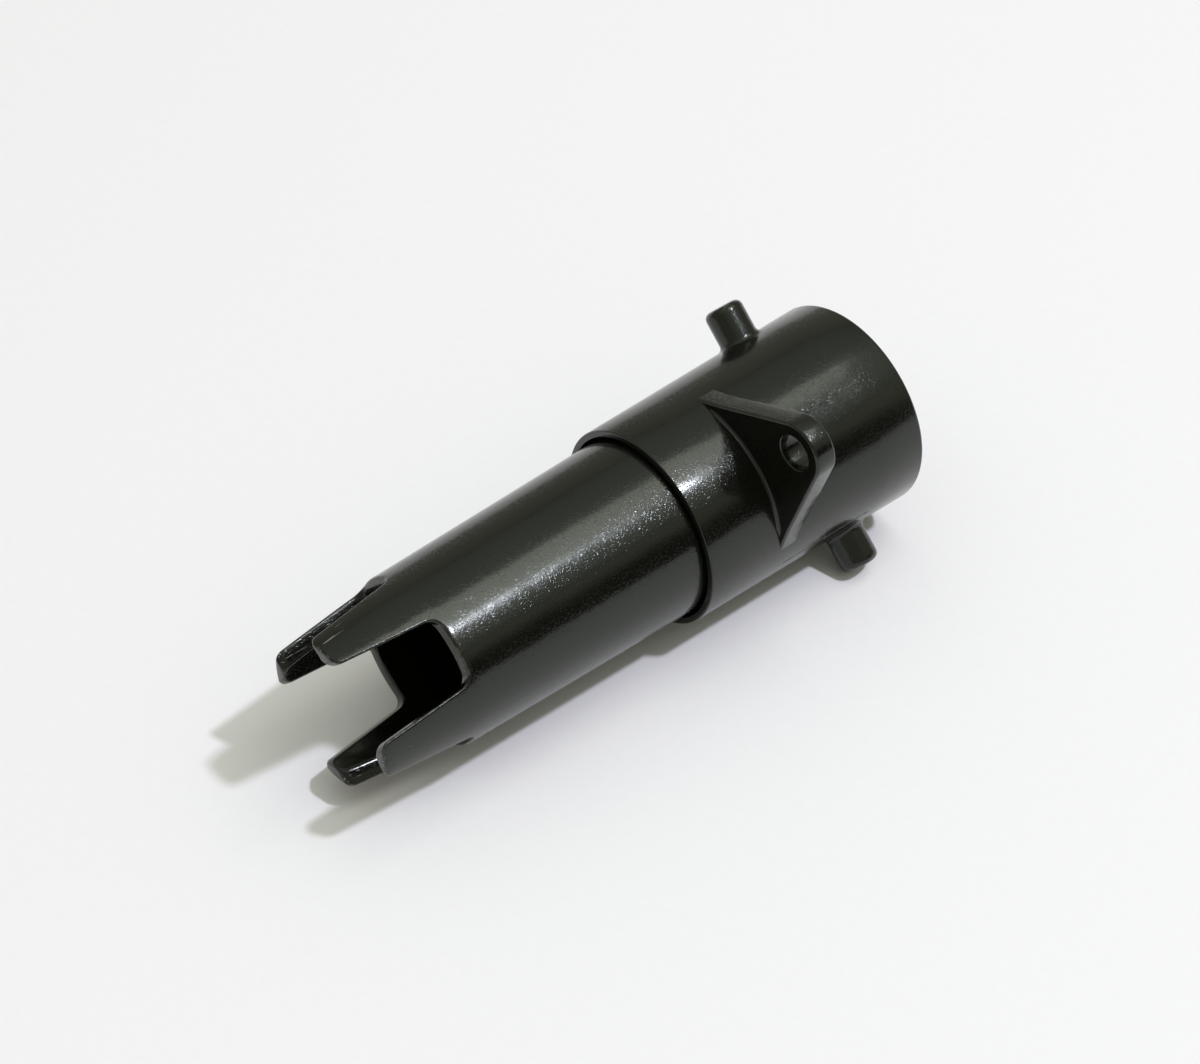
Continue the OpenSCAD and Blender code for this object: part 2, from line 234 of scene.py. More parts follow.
def half_outline(inset, radius_at):
    """Points (x, angle) from the middle of a prong's tip, down the slot's side, to the slot's middle.

    inset is how far the line stands back into the wall. radius_at gives the skin's radius at x, because
    the slot's sides are flat, so they lie at a different angle on each skin.
    """
    flat = []
    corner_x = tip_x - tip_corner
    corner_y = slot_side(corner_x) + tip_corner / math.cos(slope)
    for turn in arc(0, math.radians(90) - slope, ROUND_STEPS):
        reach = tip_corner - inset
        flat.append((corner_x + reach * math.cos(turn), corner_y - reach * math.sin(turn)))
    bottom_x = slot_x + slot_corner
    bottom_y = slot_side(bottom_x) - slot_corner / math.cos(slope)
    reach = slot_corner + inset
    ends = [(bottom_x - reach * math.cos(t), bottom_y + reach * math.sin(t))
            for t in arc(math.radians(90) - slope, 0, ROUND_STEPS)]
    start, stop = flat[-1], ends[0]
    for k in range(1, SIDE_STEPS):
        share = k / SIDE_STEPS
        flat.append(tuple(a + (b - a) * share for a, b in zip(start, stop)))
    flat += ends
    for k in range(1, BOTTOM_STEPS + 1):
        flat.append((slot_x - inset, bottom_y * (1 - k / BOTTOM_STEPS)))
    placed = [(x, math.asin(y / radius_at(x))) for x, y in flat]
    first_x, first_angle = placed[0]
    tip_line = [(first_x, quarter + (first_angle - quarter) * k / 3) for k in range(3)]
    return tip_line + placed


def slot_outline(inset, radius_at):
    """The outline from the middle of one prong to the middle of the next."""
    right = half_outline(inset, radius_at)
    left = [(x, -angle) for x, angle in reversed(right[:-1])]
    return right + left


print("one slot's outline has", len(slot_outline(0, outer_radius)), "points")

# %% [markdown]
# A skin is filled with triangles between the slot's outline and a ring further back. The fill is done
# flat, with the tube unrolled, on a grid of small steps so that the rolled-up skin is truly round. Grid
# points keep a little clear of the outline and of the seam between two quarters, to avoid slivers.

# %% Skin between the outline and a ring
join_x = 70.6 * MM
RING_STEPS = 24
GRID = 1.0 * MM
CLEAR = 0.55 * MM
SEAM_CLEAR = 0.03
SIDE_ROWS = 12


def skin(inset, radius_at):
    """Points and triangles of a quarter of one skin, from the ring at join_x to the outline."""
    outline = slot_outline(inset, radius_at)
    front_x = outline[0][0]
    rear = [(join_x, angle) for angle in arc(-quarter, quarter, RING_STEPS)]
    up = [(join_x + (front_x - join_x) * k / SIDE_ROWS, quarter) for k in range(1, SIDE_ROWS)]
    down = [(x, -angle) for x, angle in reversed(up)]
    border = rear + up + outline + down
    inside = []
    rows = int((tip_x - join_x) / GRID)
    for row in range(1, rows):
        x = join_x + row * GRID
        for angle in arc(-quarter, quarter, RING_STEPS)[1:-1]:
            beside = radius_at(x) * math.sin(abs(angle))
            in_wall = x < slot_x - CLEAR or beside > slot_side(x) + inset + CLEAR
            if in_wall and x < tip_x - inset - CLEAR and abs(angle) < quarter - SEAM_CLEAR:
                inside.append((x, angle))
    flat = [Vector((x / MM, angle * slot_radius / MM)) for x, angle in border + inside]
    loop = [(k, (k + 1) % len(border)) for k in range(len(border))]
    found, _, triangles, *_ = delaunay_2d_cdt(flat, loop, [list(range(len(border)))], 1, 1e-6)
    placed = [(p.x * MM, p.y * MM / slot_radius) for p in found]
    return [on_pump(x, radius_at(x), angle) for x, angle in placed], [tuple(t) for t in triangles]


# %% [markdown]
# The edge of a moulded slot is never sharp. Rows of points roll from the outer skin over the wall's edge
# to the inner skin, and each row knows how worn it is, which is most where the round bulges out.

# %% Rounded edge of the slots and prongs
EDGE_STEPS = 5
PRONG_MIDDLE = 0.2
INNER_EDGE_WEAR = 0.6


def edge_rows():
    """Rows of points round the wall's edge, from the outer skin to the inner skin, with their wear."""
    rows, wear = [], []
    for turn in arc(0, math.pi / 2, EDGE_STEPS):
        line = slot_outline(edge_round * (1 - math.sin(turn)), outer_radius)
        depth = edge_round * (1 - math.cos(turn))
        skewed = [(x, math.asin(outer_radius(x) * math.sin(a) / (outer_radius(x) - depth)))
                  if abs(a) < quarter - PRONG_MIDDLE else (x, a) for x, a in line]
        rows.append([on_pump(x, outer_radius(x) - depth, a) for x, a in skewed])
        wear.append(math.sin(2 * turn))
    for turn in arc(math.pi / 2, 0, EDGE_STEPS):
        height = inner_edge_round * (1 - math.cos(turn))
        line = slot_outline(inner_edge_round * (1 - math.sin(turn)), lambda x: inner_radius(x) + height)
        rows.append([on_pump(x, inner_radius(x) + height, a) for x, a in line])
        wear.append(INNER_EDGE_WEAR * math.sin(2 * turn))
    return rows, wear


# %% [markdown]
# Behind the slots the barrel is plain round work: a tapered outside, a groove for the guide ring, the
# piston's chamber, and the wall that holds the nozzle bush. One profile turned about the axis makes it.

# %% Turned part of the barrel
chamber_radius = 9.8 * MM
bulkhead_x = 54.5 * MM
bulkhead_front_x = 57.5 * MM
port_bush_radius = 3.92 * MM
groove_x = 27.2 * MM
groove_end_x = 29.2 * MM
groove_radius = 12.0 * MM
rear_chamfer = 0.2 * MM
taper_middle_x = step_x + 16 * MM
barrel_profile = [
    (join_x, outer_radius(join_x)), (taper_middle_x, outer_radius(taper_middle_x)),
    (step_x, barrel_radius), (groove_end_x, barrel_radius), (groove_end_x, groove_radius),
    (groove_x, groove_radius), (groove_x, barrel_radius), (rear_x + rear_chamfer, barrel_radius),
    (rear_x, barrel_radius - rear_chamfer), (rear_x, chamber_radius), (bulkhead_x, chamber_radius),
    (bulkhead_x, port_bush_radius), (bulkhead_front_x, port_bush_radius),
    (bulkhead_front_x, inner_radius(bulkhead_front_x)), (join_x, inner_radius(join_x)),
]
print("the chamber is", round((bulkhead_x - rear_x) / MM, 1), "mm long")

# %% Barrel


def build_barrel():
    """All of the barrel's points and faces."""
    points, faces, wear_and_highlight = [], [], []

    def gather(new_points, new_faces, new_worn):
        first = len(points)
        points.extend(new_points)
        wear_and_highlight.extend(new_worn)
        faces.extend(tuple(first + i for i in face) for face in new_faces)

    rows = [[on_pump(x, radius, angle) for angle in arc(-quarter, 7 * quarter, 4 * RING_STEPS)]
            for x, radius in barrel_profile]
    gather([p for row in rows for p in row], strips(rows), [0.0] * sum(map(len, rows)))
    round_edge, wear = edge_rows()
    for slot in range(4):
        turn = Matrix.Rotation(slot * math.pi / 2, 3, "X")
        for inset, radius_at in ((edge_round, outer_radius), (inner_edge_round, inner_radius)):
            skin_points, triangles = skin(inset, radius_at)
            gather([turn @ p for p in skin_points], triangles, [0.0] * len(skin_points))
        edge_points = [turn @ p for row in round_edge for p in row]
        edge_wear = [w for w, row in zip(wear, round_edge) for _ in row]
        gather(edge_points, strips(round_edge), edge_wear)
    return points, faces, wear_and_highlight


nose_barrel = make_piece("nose_barrel_shell", *build_barrel())
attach(nose_barrel, "barrel")
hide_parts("nose_barrel")

# %% [markdown]
# ## The collar
# The collar is a second moulding that slips over the barrel. Its sleeve is turned from one closed
# profile, with small rounds on the rims that the eye can see, and the two keyways are cut in its bore
# with boolean boxes, because they are plain flat cuts that nobody sees.

# %% Collar sleeve
mouth_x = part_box("collar")[1].x
mouth_radius = 14.0 * MM
collar_rear_radius = 14.54 * MM
bore_radius = 13.05 * MM
cap_seat_radius = 13.27 * MM
cap_seat_x = 4.2 * MM
rim_round = 0.16 * MM
bore_round = 0.12 * MM
rear_round = 0.5 * MM
snap_ring_x = 2.5 * MM
snap_groove_radius = 0.5 * MM
sleeve_rows = (30 * MM, 24 * MM, 16 * MM, 8 * MM)
COLLAR_STEPS = 144


def collar_radius(x):
    """Radius of the collar's outer skin at x."""
    return collar_rear_radius + (mouth_radius - collar_rear_radius) * x / mouth_x


def corner(x, radius, rounding, start):
    """A quarter circle about (x, radius), from start degrees round to start + 90."""
    return [(x + rounding * math.cos(t), radius + rounding * math.sin(t))
            for t in arc(math.radians(start), math.radians(start + 90), 4)]


collar_profile = (
    corner(mouth_x - rim_round, mouth_radius - rim_round, rim_round, 0)
    + [(x, collar_radius(x)) for x in sleeve_rows]
    + corner(rear_round, collar_rear_radius - rear_round, rear_round, 90)
    + [(0.0, cap_seat_radius)]
    + [(snap_ring_x - snap_groove_radius * math.cos(t),
        cap_seat_radius + snap_groove_radius * math.sin(t)) for t in arc(0, math.pi, 8)]
    + [(cap_seat_x, cap_seat_radius), (cap_seat_x, bore_radius)]
    + corner(mouth_x - bore_round, bore_radius + bore_round, bore_round, -90)
)


def turned(name, profile, steps):
    """A closed ring turned from a closed profile of (x, radius) points."""
    rows = [[on_pump(x, radius, angle) for angle in arc(0, 2 * math.pi, steps)[:-1]]
            for x, radius in profile + profile[:1]]
    return make_piece(name, [p for row in rows for p in row], strips(rows, closed=True))


collar_sleeve = turned("collar_sleeve", collar_profile, COLLAR_STEPS)
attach(collar_sleeve, "plunger")
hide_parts("collar")

# %% Keyways in the bore
keyway_x = 17.9 * MM
keyway_end_x = 34.1 * MM
keyway_reach = 13.5 * MM
keyway_width = 3.1 * MM
keyway_cutter_height = 4 * MM


def cut_box(piece, middle, size, turn):
    """Takes a box away from a piece. turn is the box's angle about the pump's axis."""
    bpy.ops.mesh.primitive_cube_add(size=1.0, location=middle)
    cutter = bpy.context.object
    cutter.scale = size
    cutter.rotation_euler = (turn, 0, 0)
    cut = piece.modifiers.new("cut", "BOOLEAN")
    cut.operation = "DIFFERENCE"
    cut.solver = "EXACT"
    cut.object = cutter
    bpy.context.view_layer.update()
    made = piece.evaluated_get(bpy.context.evaluated_depsgraph_get())
    mesh = bpy.data.meshes.new_from_object(made)
    piece.modifiers.clear()
    piece.data = mesh
    bpy.data.objects.remove(cutter)


for side in (math.pi / 2, -math.pi / 2):
    box_middle = on_pump((keyway_x + keyway_end_x) / 2, keyway_reach - keyway_cutter_height / 2, side)
    box_size = (keyway_end_x - keyway_x, keyway_cutter_height, keyway_width)
    cut_box(collar_sleeve, box_middle, box_size, ear_turn + side)
print("the sleeve with its keyways has", len(collar_sleeve.data.polygons), "faces")

# %% [markdown]
# ## The finger pegs
# Two round pegs stand out of the collar, one on each side, for two fingers to pull on. Each is built as
# rings of points: a small hollow foot that follows the collar's round skin, then the straight side, the
# rounded rim and the flat end. Rubbing comes on towards the end, where fingers touch most.

# %% Peg sizes
peg_x = mounts["upper_peg"]["pos_m"][0]
peg_radius = mounts["upper_peg"]["dims"]["r_mm"] * MM
peg_reach = 19.6 * MM
peg_round = 1.0 * MM
peg_foot = 0.7 * MM
peg_side_wear = 0.4
PEG_STEPS = 48
END_RINGS = (0.66, 0.33, 0.02)
print("each peg stands", round((peg_reach - collar_radius(peg_x)) / MM, 2), "mm out of the collar")

# %% Finger pegs


def finger_peg(name, side):
    """A round peg with a rounded end and a small foot that runs into the collar. side is +1 or -1."""
    rows, wear_and_highlight = [], []
    sideways = on_pump(0, 1, side * math.pi / 2)
    across = on_pump(0, 1, 0)

    def place(spread, angle, height):
        return (Vector((peg_x + spread * math.cos(angle), 0, 0))
                + across * spread * math.sin(angle) + sideways * height)

    def skin_height(spread, angle):
        beside = spread * math.sin(angle)
        return math.sqrt(collar_radius(peg_x + spread * math.cos(angle)) ** 2 - beside ** 2)

    around = arc(0, 2 * math.pi, PEG_STEPS)[:-1]
    for turn in arc(0, math.pi / 2, 5):
        spread = peg_radius + peg_foot * (1 - math.sin(turn))
        lift = peg_foot * (1 - math.cos(turn))
        rows.append([place(spread, a, skin_height(spread, a) + lift) for a in around])
        wear_and_highlight.append(0.0)
    for turn in arc(0, math.pi / 2, 6):
        spread = peg_radius - peg_round * (1 - math.cos(turn))
        height = peg_reach - peg_round * (1 - math.sin(turn))
        rows.append([place(spread, a, height) for a in around])
        wear_and_highlight.append(peg_side_wear + (1 - peg_side_wear) * math.sin(turn))
    for share in END_RINGS:
        spread = (peg_radius - peg_round) * share
        rows.append([place(spread, a, peg_reach) for a in around])
        wear_and_highlight.append(1.0)
    peg = make_piece(name, [p for row in rows for p in row], strips(rows, closed=True),
                     [w for w, row in zip(wear_and_highlight, rows) for _ in row])
    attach(peg, "plunger")
    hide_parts("collar")
    return peg


upper_peg = finger_peg("upper_peg", 1)
lower_peg = finger_peg("lower_peg", -1)

# %% [markdown]
# ## The ear
# The ear is a flat plate that stands across the pump, rounded at its end and pierced by one plain hole.
# Seen from the hole, every point of its outline is at one known distance, so the plate is built like a
# clock face: for each direction from the hole, one closed loop runs over the front face, round the
# rounded edge, over the back face and through the hole.

# %% Ear sizes
ear_low_x = 22.4 * MM
ear_high_x = 25.6 * MM
hole_offset = Vector((ear_place.y, ear_place.z)).length
hole_radius = mounts["ear_hole"]["dims"]["r_mm"] * MM
ear_end_radius = 4.3 * MM
ear_lean = math.radians(23.4)
ear_edge_round = 0.42 * MM
hole_edge_round = 0.22 * MM
ear_root_radius = 13.5 * MM
ear_flare = 0.2 * MM
ear_flare_height = 1.6 * MM
ear_edge_wear = 0.75
LEAST_COSINE = 0.1
EAR_STEPS = 160
print("the ear is", round((ear_high_x - ear_low_x) / MM, 2), "mm thick")

# %% The ear's outline


def ear_reach(direction, inset):
    """Distance from the hole's centre to the ear's outline, in a direction counted from straight out."""
    width = ear_end_radius - inset
    past = abs(direction) - (math.pi / 2 - ear_lean)
    reach = width if past <= 0 else width / max(math.cos(past), LEAST_COSINE)
    if past > 0:
        out_y = hole_offset + reach * math.cos(direction)
        above = math.hypot(out_y, reach * math.sin(direction)) - collar_radius(ear_place.x)
        flare = ear_flare * min(1.0, max(0.0, 1 - above / ear_flare_height)) ** 2
        reach = (width + flare) / max(math.cos(past), LEAST_COSINE)
        lean = hole_offset * math.cos(direction)
        under = lean ** 2 - hole_offset ** 2 + ear_root_radius ** 2
        if under > 0:
            reach = min(reach, -lean - math.sqrt(under))
    return reach


def ear_point(x, reach, direction):
    """A point of the ear at x, at that reach and direction from the hole's centre."""
    out = on_pump(0, 1, 0)
    beside = on_pump(0, 1, math.pi / 2)
    return (Vector((x, 0, 0)) + out * (hole_offset + reach * math.cos(direction))
            + beside * reach * math.sin(direction))


# %% Ear


def ear_loop(direction):
    """One closed loop over the front, the edge, the back and the hole, with the wear of each point."""
    loop, wear_and_highlight = [], []
    for front in (True, False):
        face_x = ear_high_x if front else ear_low_x
        into = -1 if front else 1
        half = []
        for turn in arc(0, math.pi / 2, 4):
            reach = hole_radius + hole_edge_round * (1 - math.sin(turn))
            half.append((face_x + into * hole_edge_round * (1 - math.cos(turn)), reach, 0.0))
        half.reverse()
        rim = ear_reach(direction, ear_edge_round)
        for share in (0.25, 0.5, 0.75):
            start = hole_radius + hole_edge_round
            half.append((face_x, start + (rim - start) * share, 0.0))
        for turn in arc(0, math.pi / 2, 5):
            reach = ear_reach(direction, ear_edge_round * (1 - math.sin(turn)))
            rubbed_and_highlight = ear_edge_wear * math.sin(2 * turn)
            half.append((face_x + into * ear_edge_round * (1 - math.cos(turn)), reach, rubbed_and_highlight))
        if not front:
            half.reverse()
        loop += [ear_point(x, reach, direction) for x, reach, _ in half]
        wear_and_highlight += [w for _, _, w in half]
    return loop, wear_and_highlight


def build_ear():
    """The ear's points, faces and wear."""
    loops = [ear_loop(direction) for direction in arc(-math.pi, math.pi, EAR_STEPS)]
    rows = [loop for loop, _ in loops]
    wear_and_highlight = [w for _, wear in loops for w in wear]
    return [p for row in rows for p in row], strips(rows, closed=True), wear_and_highlight


ear = make_piece("ear", *build_ear())
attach(ear, "plunger")
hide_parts("collar")

# %% [markdown]
# A moulded plate never meets a tube in a sharp inner corner: the steel of the mould is rounded there,
# and so is the plastic. A thin hollow fillet on each side of the ear fades out towards its two ends.

# %% Foot of the ear
foot_round = 0.45 * MM
foot_reach = math.radians(41.5)
foot_fade = math.radians(6)
least_foot = 0.05
FOOT_STEPS = 60


def ear_foot(name, face_x, away):
    """A hollow fillet between one face of the ear and the collar. away is +1 in front and -1 behind."""
    rows = []
    for turn in arc(0, math.pi / 2, 5):
        row = []
        for angle in arc(-foot_reach, foot_reach, FOOT_STEPS):
            fade = min(1.0, (foot_reach - abs(angle)) / foot_fade)
            size = foot_round * (least_foot + (1 - least_foot) * fade)
            x = face_x + away * size * (1 - math.sin(turn))
            row.append(on_pump(x, collar_radius(x) + size * (1 - math.cos(turn)), angle))
        rows.append(row)
    foot = make_piece(name, [p for row in rows for p in row], strips(rows))
    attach(foot, "plunger")
    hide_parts("collar")
    return foot


front_foot = ear_foot("ear_foot_front", ear_high_x, 1)
rear_foot = ear_foot("ear_foot_rear", ear_low_x, -1)

# %% [markdown]
# ## The mould lines
# Two halves of a steel mould met along the collar, and the plastic crept a little into the joint. It
# left one hair-thin ridge behind the ear and another beside the lower peg. Each is a low strip whose
# height wavers, laid just on the skin with its two rims sunk in. Each is given the rubbed colour all
# along, as a painted highlight for the light that the thin ridge catches.

# %% Mould lines
LINE_STEP = 0.2 * MM
RIDGE_SECTION = ((-1, -0.2), (-0.45, 0.8), (0, 1), (0.45, 0.8), (1, -0.2))


def mould_line(name, angle, from_x, to_x, half_width, height):
    """A faint ridge along the collar at an angle from the ear."""
    rows = []
    for k in range(int((to_x - from_x) / LINE_STEP) + 1):
        x = from_x + k * LINE_STEP
        waver = 0.8 + 0.2 * math.sin(k * 0.9) * math.sin(k * 0.37)
        radius = collar_radius(x)
        rows.append([on_pump(x, radius + lift * height * waver, angle + across * half_width / radius)
                     for across, lift in RIDGE_SECTION])
    points = [p for row in rows for p in row]
    # Full rubbed colour on every point: a painted highlight along the ridge.
    line = make_piece(name, points, strips(rows), [1.0] * len(points))
    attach(line, "plunger")
    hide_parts("collar")
    return line


ear_line = mould_line("mould_line_ear", math.radians(11.5), from_x=6 * MM, to_x=22.3 * MM,
                      half_width=0.10 * MM, height=0.05 * MM)
peg_line = mould_line("mould_line_peg", math.radians(-67), from_x=9 * MM, to_x=24 * MM,
                      half_width=0.12 * MM, height=0.05 * MM)

# %% [markdown]
# ## The thumb pad
# The collar's rear is closed by a rubber pad. It's moulded with a soft rim and three shallow rings that
# stop a thumb from slipping, so it is turned from its own small profile.

# %% Thumb pad
pad_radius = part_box("thumb_pad")[1].y
pad_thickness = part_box("thumb_pad")[1].x
pad_round = 0.25 * MM
pad_groove = 0.18 * MM
pad_groove_half = 0.35 * MM
pad_rings = (11.0 * MM, 9.0 * MM, 7.0 * MM)
pad_middle = 0.01 * MM
PAD_STEPS = 96
pad_profile = [(pad_thickness, pad_middle), (pad_thickness, pad_radius)]
pad_profile += [(pad_round * (1 - math.sin(t)), pad_radius - pad_round * (1 - math.cos(t)))
                for t in arc(0, math.pi / 2, 4)]
for ring_radius in pad_rings:
    pad_profile += [(pad_groove * math.sin(t), ring_radius + pad_groove_half * math.cos(t))
                    for t in arc(0, math.pi, 6)]
pad_profile.append((0.0, pad_middle))
thumb_pad = turned("thumb_pad_rubber", pad_profile, PAD_STEPS)
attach(thumb_pad, "plunger")
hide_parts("thumb_pad")

# %% [markdown]
# ## The return spring
# A compression spring is one steel wire wound round a bar. Its end turns lie closed so that it stands
# square. A circle is carried along the coil.

# %% Return spring
coil_radius = 8.1 * MM
wire_radius = 0.4 * MM
coil_turns = 6
spring_rear_x = 4.7 * MM
spring_front_x = 24.0 * MM
closed_rise = 2.1 * wire_radius
TURN_STEPS = 40
WIRE_SIDES = 12


def coil_x(turns):
    """Place of the wire's middle along the axis after that many turns: closed, open, closed."""
    first = spring_rear_x + wire_radius
    last = spring_front_x - wire_radius
    open_rise = (last - first - 2 * closed_rise) / (coil_turns - 2)
    middle_turns = min(max(turns - 1, 0), coil_turns - 2)
    closed_turns = min(turns, 1) + max(turns - coil_turns + 1, 0)
    return first + closed_rise * closed_turns + open_rise * middle_turns


spring_rows = []
for k in range(coil_turns * TURN_STEPS + 1):
    turns = k / TURN_STEPS
    angle = 2 * math.pi * turns
    spring_rows.append([on_pump(coil_x(turns) + wire_radius * math.cos(t),
                                coil_radius + wire_radius * math.sin(t), angle)
                        for t in arc(0, 2 * math.pi, WIRE_SIDES)[:-1]])
spring_faces = strips(spring_rows, closed=True)
last_row = len(spring_rows) * WIRE_SIDES - WIRE_SIDES
spring_faces.append(tuple(range(WIRE_SIDES)))
spring_faces.append(tuple(range(last_row, last_row + WIRE_SIDES)))
return_spring = make_piece("return_spring_wire", [p for row in spring_rows for p in row], spring_faces)
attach(return_spring, "barrel")
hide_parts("return_spring")
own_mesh(return_spring)

# %% [markdown]
# ## Floor and light
# The pump lies on a plain white board. Glossy black plastic shows little but what it mirrors, so each
# light is there for its reflection too: a small bright key, a little cool, gives the long glittering
# streak and the edge of the shadow, and a large warm soft box lightens the shadow and widens the streak.
# Both stand two metres off, so that the board is lit evenly from side to side.

# %% Floor
FLOOR_SIZE = 6.0
floor_z = cad_low.z
bpy.ops.mesh.primitive_plane_add(size=FLOOR_SIZE, location=(0, 0, floor_z))
floor = bpy.context.object
floor.name = "floor"
print("the board lies", round(-floor_z / MM, 2), "mm below the pump's axis")

# %% Lights
LIGHT_DISTANCE = 2.0
middle_of_pump = Vector((50 * MM, 0, 0))


def soft_light(name, direction, size, power, colour):
    """A square area light that faces the pump from a direction. size is in metres, power in watts."""
    data = bpy.data.lights.new(name, "AREA")
    data.shape = "SQUARE"
    data.size = size
    data.energy = power
    data.color = colour
    light = bpy.data.objects.new(name, data)
    from_pump = Vector(direction).normalized()
    light.location = middle_of_pump + from_pump * LIGHT_DISTANCE
    light.rotation_euler = (-from_pump).to_track_quat("-Z", "Y").to_euler()
    scene.collection.objects.link(light)
    print(name, "stands", round(math.degrees(math.asin(from_pump.z))), "degrees above the table")


soft_light("key", (-0.30, 0.40, 0.866), size=0.12, power=20.0, colour=(0.84, 0.84, 1.0))
soft_light("soft_box", (-0.30, 0.12, 0.90), size=1.0, power=6.4, colour=(1.0, 0.975, 0.90))

# %% [markdown]
# ## The room around
# The room is a world colour that changes with height, like a warm grey wall with one dark line under a
# paler ceiling, and the tube mirrors it as quiet bands along its length. A dark corner, low on the ear's
# side, gives the tube its deep lower flank, and a pale glow round the key gives the streak a shoulder.

# %% The room's colours
world = bpy.data.worlds.new("studio")
world.use_nodes = True
scene.world = world
room = world.node_tree
direction = room.nodes.new("ShaderNodeTexCoord").outputs["Generated"]
height = room.nodes.new("ShaderNodeSeparateXYZ")
room.links.new(direction, height.inputs[0])
wall_colour = room.nodes.new("ShaderNodeValToRGB")
room.links.new(height.outputs["Z"], wall_colour.inputs[0])
# Each stop is the sine of the height above the horizon, with the linear colour of the wall there.
wall_paint = [
    (0.0, (0.335, 0.315, 0.28)), (0.53, (0.365, 0.355, 0.305)), (0.57, (0.21, 0.21, 0.175)),
    (0.61, (0.37, 0.38, 0.325)), (0.72, (0.49, 0.51, 0.445)), (0.9, (0.63, 0.645, 0.61)),
]
while len(wall_colour.color_ramp.elements) < len(wall_paint):
    wall_colour.color_ramp.elements.new(1.0)
for stop, (place, colour) in zip(wall_colour.color_ramp.elements, wall_paint):
    stop.position = place
    stop.color = (*colour, 1.0)
print("the wall has", len(wall_paint), "tones")

# %% The dark corner and the glow


def towards(place, near, far, at_near, at_far):
    """A value that changes smoothly with how closely one looks towards a place in the room.

    near and far are cosines of the angle to that place, and at_near and at_far are the values there.
    """
    along = room.nodes.new("ShaderNodeVectorMath")
    along.operation = "DOT_PRODUCT"
    along.inputs[1].default_value = place
    room.links.new(direction, along.inputs[0])
    ramp = room.nodes.new("ShaderNodeMapRange")
    ramp.interpolation_type = "SMOOTHSTEP"
    ramp.inputs["From Min"].default_value = far
    ramp.inputs["From Max"].default_value = near
    ramp.inputs["To Min"].default_value = at_far
    ramp.inputs["To Max"].default_value = at_near
    room.links.new(along.outputs["Value"], ramp.inputs["Value"])
    return ramp.outputs[0]


dark_corner = towards((-0.48, 0.87, 0.10), near=0.985, far=0.92, at_near=0.05, at_far=1.0)
glow = towards((-0.42, 0.42, 0.80), near=1.0, far=0.75, at_near=0.6, at_far=0.0)
strength = room.nodes.new("ShaderNodeMath")
strength.operation = "ADD"
room.links.new(dark_corner, strength.inputs[0])
room.links.new(glow, strength.inputs[1])
background = room.nodes["Background"]
room.links.new(wall_colour.outputs["Color"], background.inputs["Color"])
room.links.new(strength.outputs[0], background.inputs["Strength"])
print("the room has", len(room.nodes), "nodes")

# %% [markdown]
# ## Materials
# Every material is mixed from Blender's own noise, so it has detail at any distance. One function turns
# a hex colour into the linear numbers that the renderer wants, one turns a real size in millimetres into
# a pattern's scale, and one adds a node with its settings and links.

# %% Material helpers


def paint(hex_colour):
    """A linear RGBA colour from an sRGB hex value."""
    channels = [int(hex_colour[k:k + 2], 16) / 255 for k in (1, 3, 5)]
    linear = [c / 12.92 if c <= 0.04045 else ((c + 0.055) / 1.055) ** 2.4 for c in channels]
    return (*linear, 1.0)


def per_mm(size):
    """Scale of a pattern whose features are size millimetres across."""
    return 1.0 / (size * MM)


def add(tree, kind, settings=None, links=None):
    """Adds a node. settings holds its options and input values, links the sockets that feed it."""
    node = tree.nodes.new(kind)
    for key, value in (settings or {}).items():
        if isinstance(key, int) or key in node.inputs:
            node.inputs[key].default_value = value
        else:
            setattr(node, key, value)
    for key, source in (links or {}).items():
        tree.links.new(source, node.inputs[key])
    return node


def new_material(name):
    """An empty node material, and its tree."""
    material = bpy.data.materials.new(name)
    material.use_nodes = True
    material.node_tree.nodes.clear()
    return material, material.node_tree


def finish_material(tree, shader):
    """Connects the shader to the material's output."""
    add(tree, "ShaderNodeOutputMaterial", {}, {"Surface": shader.outputs[0]})


print("a pattern with features 1 mm across has a scale of", round(per_mm(1)))

# %% [markdown]
# The barrel and the collar are black nylon, injection moulded in a tool whose steel was lightly
# grained. The eye reads it from four things: a black that isn't quite even, a gloss that breaks into
# tiny glints on the grain, slow waves where the thick wall shrank as it cooled, and edges rubbed grey.
# Each mesh says where it is worn, so the rubbed colour comes only there, and the hair scratches stay
# near the prong tips, which take the knocks. The mould lines are given the rubbed colour all along,
# and there it is a painted highlight.

# %% Black moulded plastic
# Such a grain is nearer 0.1 mm. It is drawn coarser here, so that its glints show from 40 cm away.
GRAIN_MM = 0.22
GRAIN_DEPTH_MM = 0.01
WAVE_MM = 6
WAVE_DEPTH_MM = 0.045
CLOUD_MM = 9
RUB_PATCH_MM = 0.9
HAIR_MM = 5


